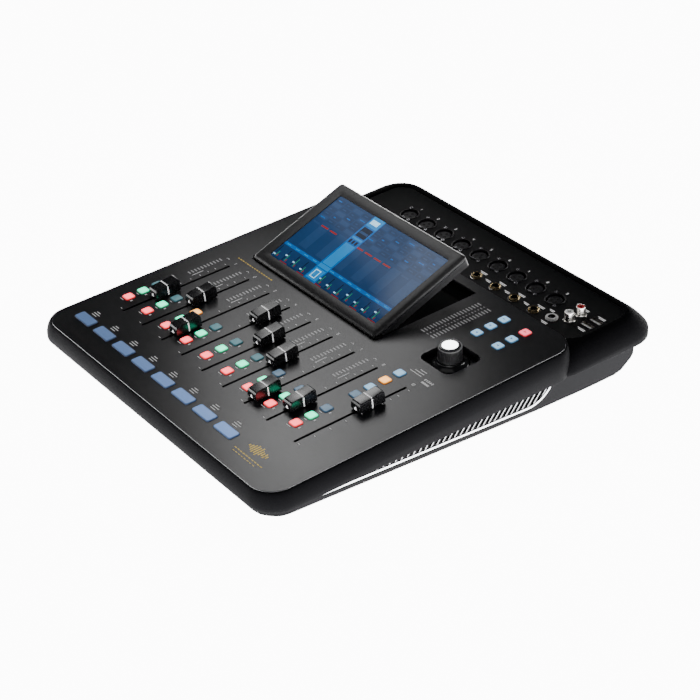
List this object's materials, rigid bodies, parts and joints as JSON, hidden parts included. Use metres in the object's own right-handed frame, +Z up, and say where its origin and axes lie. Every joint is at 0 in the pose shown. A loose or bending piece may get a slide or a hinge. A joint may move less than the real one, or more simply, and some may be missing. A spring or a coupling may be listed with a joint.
{
  "type": "mixing console",
  "caption": "Desktop digital audio mixing console with a sloping fader deck, fold-down touch screen, coloured keys, rotary encoder and rear connector bay.",
  "frame": {"origin": "on the floor under the middle of the console's width and depth", "axes": "+Z up, +X to the operator's right, +Y towards the connector bay at the rear"},
  "size_m": [0.351, 0.4184, 0.0931],
  "materials": {
    "base_paint": "satin dark grey metallic",
    "bright_trim": "brushed",
    "foot_rubber": "matt",
    "black_moulding": "fine grain",
    "deck_paint": "satin charcoal",
    "socket_black": "smooth",
    "nickel": "polished nickel",
    "screw_steel": "bright",
    "board_green": "solder mask",
    "supply_case": "plain",
    "meter_grey": "printed and lit windows",
    "bezel_grey": "satin",
    "screen_glass": "glossy display",
    "knob_black": "satin",
    "knob_white": "glossy",
    "cap_black": "semi gloss",
    "key_slate": "translucent silicone",
    "key_mint": "translucent silicone",
    "key_pale": "translucent silicone",
    "key_orange": "translucent silicone",
    "key_red": "translucent silicone"
  },
  "bodies": {
    "chassis": {"base_tray": "base_paint", "side_trims": "bright_trim", "rubber_feet": "foot_rubber", "top_cover": "black_moulding", "deck_plate": "deck_paint", "screen_well": "black_moulding", "connector_plate": "black_moulding", "xlr_sockets": "socket_black", "line_jacks": "nickel", "rca_sockets": "nickel", "usb_ports": "nickel", "panel_screws": "screw_steel", "fader_tracks": "screw_steel", "main_board": "board_green", "power_supply": "supply_case", "power_inlet": "socket_black", "network_port": "nickel", "meter_lights": "meter_grey"},
    "screen": {"screen_bezel": "bezel_grey", "screen_glass": "screen_glass", "screen_back": "black_moulding"},
    "encoder": {"encoder_knob": "knob_black", "encoder_cap": "knob_white"},
    "rocker": {"power_rocker": "socket_black"},
    "fader_1_cap": {"fader_1": "cap_black"},
    "fader_2_cap": {"fader_2": "cap_black"},
    "fader_3_cap": {"fader_3": "cap_black"},
    "fader_4_cap": {"fader_4": "cap_black"},
    "fader_5_cap": {"fader_5": "cap_black"},
    "fader_6_cap": {"fader_6": "cap_black"},
    "fader_7_cap": {"fader_7": "cap_black"},
    "fader_8_cap": {"fader_8": "cap_black"},
    "fader_master_cap": {"fader_master": "cap_black"},
    "soft_key_1_cap": {"soft_key_1": "key_slate"},
    "soft_key_2_cap": {"soft_key_2": "key_slate"},
    "soft_key_3_cap": {"soft_key_3": "key_slate"},
    "soft_key_4_cap": {"soft_key_4": "key_slate"},
    "soft_key_5_cap": {"soft_key_5": "key_slate"},
    "soft_key_6_cap": {"soft_key_6": "key_slate"},
    "soft_key_7_cap": {"soft_key_7": "key_slate"},
    "soft_key_8_cap": {"soft_key_8": "key_slate"},
    "strip_keys_1_cap": {"strip_keys_1": "key_mint"},
    "strip_keys_2_cap": {"strip_keys_2": "key_mint"},
    "strip_keys_3_cap": {"strip_keys_3": "key_mint"},
    "strip_keys_4_cap": {"strip_keys_4": "key_mint"},
    "strip_keys_5_cap": {"strip_keys_5": "key_mint"},
    "strip_keys_6_cap": {"strip_keys_6": "key_mint"},
    "strip_keys_7_cap": {"strip_keys_7": "key_mint"},
    "strip_keys_8_cap": {"strip_keys_8": "key_mint"},
    "strip_keys_9_cap": {"strip_keys_9": "key_mint"},
    "mix_key_1_cap": {"mix_key_1": "key_pale"},
    "mix_key_2_cap": {"mix_key_2": "key_pale"},
    "mix_key_3_cap": {"mix_key_3": "key_orange"},
    "mix_key_4_cap": {"mix_key_4": "key_pale"},
    "nav_key_1_cap": {"nav_key_1": "key_pale"},
    "nav_key_2_cap": {"nav_key_2": "key_pale"},
    "nav_key_3_cap": {"nav_key_3": "key_pale"},
    "nav_key_4_cap": {"nav_key_4": "key_pale"},
    "nav_key_5_cap": {"nav_key_5": "key_pale"},
    "nav_key_6_cap": {"nav_key_6": "key_red"}
  },
  "joints": [
    {"name": "screen_tilt", "type": "hinge", "parent": "chassis", "child": "screen", "pos_m": [-0.03775, -0.0045, 0.04313], "axis": [1, 0, 0], "range_deg": [-19.8, 15]},
    {"name": "encoder_turn", "type": "hinge", "parent": "chassis", "child": "encoder", "pos_m": [0.115, 0.02152, 0.04631], "axis": [0, -0.0872, 0.9962], "continuous": true},
    {"name": "power_switch", "type": "hinge", "parent": "chassis", "child": "rocker", "pos_m": [0.075, 0.17123, 0.02], "axis": [1, 0, 0], "range_deg": [-16, 0]},
    {"name": "fader_1_slide", "type": "slide", "parent": "chassis", "child": "fader_1_cap", "axis": [0, 0.9962, 0.0872], "range_m": [-0.0374, 0.0626]},
    {"name": "fader_2_slide", "type": "slide", "parent": "chassis", "child": "fader_2_cap", "axis": [0, 0.9962, 0.0872], "range_m": [-0.0554, 0.0446]},
    {"name": "fader_3_slide", "type": "slide", "parent": "chassis", "child": "fader_3_cap", "axis": [0, 0.9962, 0.0872], "range_m": [-0.0186, 0.0814]},
    {"name": "fader_4_slide", "type": "slide", "parent": "chassis", "child": "fader_4_cap", "axis": [0, 0.9962, 0.0872], "range_m": [-0.0805, 0.0195]},
    {"name": "fader_5_slide", "type": "slide", "parent": "chassis", "child": "fader_5_cap", "axis": [0, 0.9962, 0.0872], "range_m": [-0.0626, 0.0374]},
    {"name": "fader_6_slide", "type": "slide", "parent": "chassis", "child": "fader_6_cap", "axis": [0, 0.9962, 0.0872], "range_m": [-0.054, 0.046]},
    {"name": "fader_7_slide", "type": "slide", "parent": "chassis", "child": "fader_7_cap", "axis": [0, 0.9962, 0.0872], "range_m": [-0.0141, 0.0859]},
    {"name": "fader_8_slide", "type": "slide", "parent": "chassis", "child": "fader_8_cap", "axis": [0, 0.9962, 0.0872], "range_m": [-0.0271, 0.0729]},
    {"name": "fader_master_slide", "type": "slide", "parent": "chassis", "child": "fader_master_cap", "axis": [0, 0.9962, 0.0872], "range_m": [-0.0672, 0.0328]},
    {"name": "soft_key_1_press", "type": "slide", "parent": "chassis", "child": "soft_key_1_cap", "axis": [0, 0.0872, -0.9962], "range_m": [0, 0.0008], "stiffness_N_per_m": 600, "springref_m": -0.0003},
    {"name": "soft_key_2_press", "type": "slide", "parent": "chassis", "child": "soft_key_2_cap", "axis": [0, 0.0872, -0.9962], "range_m": [0, 0.0008], "stiffness_N_per_m": 600, "springref_m": -0.0003},
    {"name": "soft_key_3_press", "type": "slide", "parent": "chassis", "child": "soft_key_3_cap", "axis": [0, 0.0872, -0.9962], "range_m": [0, 0.0008], "stiffness_N_per_m": 600, "springref_m": -0.0003},
    {"name": "soft_key_4_press", "type": "slide", "parent": "chassis", "child": "soft_key_4_cap", "axis": [0, 0.0872, -0.9962], "range_m": [0, 0.0008], "stiffness_N_per_m": 600, "springref_m": -0.0003},
    {"name": "soft_key_5_press", "type": "slide", "parent": "chassis", "child": "soft_key_5_cap", "axis": [0, 0.0872, -0.9962], "range_m": [0, 0.0008], "stiffness_N_per_m": 600, "springref_m": -0.0003},
    {"name": "soft_key_6_press", "type": "slide", "parent": "chassis", "child": "soft_key_6_cap", "axis": [0, 0.0872, -0.9962], "range_m": [0, 0.0008], "stiffness_N_per_m": 600, "springref_m": -0.0003},
    {"name": "soft_key_7_press", "type": "slide", "parent": "chassis", "child": "soft_key_7_cap", "axis": [0, 0.0872, -0.9962], "range_m": [0, 0.0008], "stiffness_N_per_m": 600, "springref_m": -0.0003},
    {"name": "soft_key_8_press", "type": "slide", "parent": "chassis", "child": "soft_key_8_cap", "axis": [0, 0.0872, -0.9962], "range_m": [0, 0.0008], "stiffness_N_per_m": 600, "springref_m": -0.0003},
    {"name": "strip_keys_1_press", "type": "slide", "parent": "chassis", "child": "strip_keys_1_cap", "axis": [0, 0.0872, -0.9962], "range_m": [0, 0.0008], "stiffness_N_per_m": 600, "springref_m": -0.0003},
    {"name": "strip_keys_2_press", "type": "slide", "parent": "chassis", "child": "strip_keys_2_cap", "axis": [0, 0.0872, -0.9962], "range_m": [0, 0.0008], "stiffness_N_per_m": 600, "springref_m": -0.0003},
    {"name": "strip_keys_3_press", "type": "slide", "parent": "chassis", "child": "strip_keys_3_cap", "axis": [0, 0.0872, -0.9962], "range_m": [0, 0.0008], "stiffness_N_per_m": 600, "springref_m": -0.0003},
    {"name": "strip_keys_4_press", "type": "slide", "parent": "chassis", "child": "strip_keys_4_cap", "axis": [0, 0.0872, -0.9962], "range_m": [0, 0.0008], "stiffness_N_per_m": 600, "springref_m": -0.0003},
    {"name": "strip_keys_5_press", "type": "slide", "parent": "chassis", "child": "strip_keys_5_cap", "axis": [0, 0.0872, -0.9962], "range_m": [0, 0.0008], "stiffness_N_per_m": 600, "springref_m": -0.0003},
    {"name": "strip_keys_6_press", "type": "slide", "parent": "chassis", "child": "strip_keys_6_cap", "axis": [0, 0.0872, -0.9962], "range_m": [0, 0.0008], "stiffness_N_per_m": 600, "springref_m": -0.0003},
    {"name": "strip_keys_7_press", "type": "slide", "parent": "chassis", "child": "strip_keys_7_cap", "axis": [0, 0.0872, -0.9962], "range_m": [0, 0.0008], "stiffness_N_per_m": 600, "springref_m": -0.0003},
    {"name": "strip_keys_8_press", "type": "slide", "parent": "chassis", "child": "strip_keys_8_cap", "axis": [0, 0.0872, -0.9962], "range_m": [0, 0.0008], "stiffness_N_per_m": 600, "springref_m": -0.0003},
    {"name": "strip_keys_9_press", "type": "slide", "parent": "chassis", "child": "strip_keys_9_cap", "axis": [0, 0.0872, -0.9962], "range_m": [0, 0.0008], "stiffness_N_per_m": 600, "springref_m": -0.0003},
    {"name": "mix_key_1_press", "type": "slide", "parent": "chassis", "child": "mix_key_1_cap", "axis": [0, 0.0872, -0.9962], "range_m": [0, 0.0008], "stiffness_N_per_m": 600, "springref_m": -0.0003},
    {"name": "mix_key_2_press", "type": "slide", "parent": "chassis", "child": "mix_key_2_cap", "axis": [0, 0.0872, -0.9962], "range_m": [0, 0.0008], "stiffness_N_per_m": 600, "springref_m": -0.0003},
    {"name": "mix_key_3_press", "type": "slide", "parent": "chassis", "child": "mix_key_3_cap", "axis": [0, 0.0872, -0.9962], "range_m": [0, 0.0008], "stiffness_N_per_m": 600, "springref_m": -0.0003},
    {"name": "mix_key_4_press", "type": "slide", "parent": "chassis", "child": "mix_key_4_cap", "axis": [0, 0.0872, -0.9962], "range_m": [0, 0.0008], "stiffness_N_per_m": 600, "springref_m": -0.0003},
    {"name": "nav_key_1_press", "type": "slide", "parent": "chassis", "child": "nav_key_1_cap", "axis": [0, 0.0872, -0.9962], "range_m": [0, 0.0008], "stiffness_N_per_m": 600, "springref_m": -0.0003},
    {"name": "nav_key_2_press", "type": "slide", "parent": "chassis", "child": "nav_key_2_cap", "axis": [0, 0.0872, -0.9962], "range_m": [0, 0.0008], "stiffness_N_per_m": 600, "springref_m": -0.0003},
    {"name": "nav_key_3_press", "type": "slide", "parent": "chassis", "child": "nav_key_3_cap", "axis": [0, 0.0872, -0.9962], "range_m": [0, 0.0008], "stiffness_N_per_m": 600, "springref_m": -0.0003},
    {"name": "nav_key_4_press", "type": "slide", "parent": "chassis", "child": "nav_key_4_cap", "axis": [0, 0.0872, -0.9962], "range_m": [0, 0.0008], "stiffness_N_per_m": 600, "springref_m": -0.0003},
    {"name": "nav_key_5_press", "type": "slide", "parent": "chassis", "child": "nav_key_5_cap", "axis": [0, 0.0872, -0.9962], "range_m": [0, 0.0008], "stiffness_N_per_m": 600, "springref_m": -0.0003},
    {"name": "nav_key_6_press", "type": "slide", "parent": "chassis", "child": "nav_key_6_cap", "axis": [0, 0.0872, -0.9962], "range_m": [0, 0.0008], "stiffness_N_per_m": 600, "springref_m": -0.0003}
  ]
}
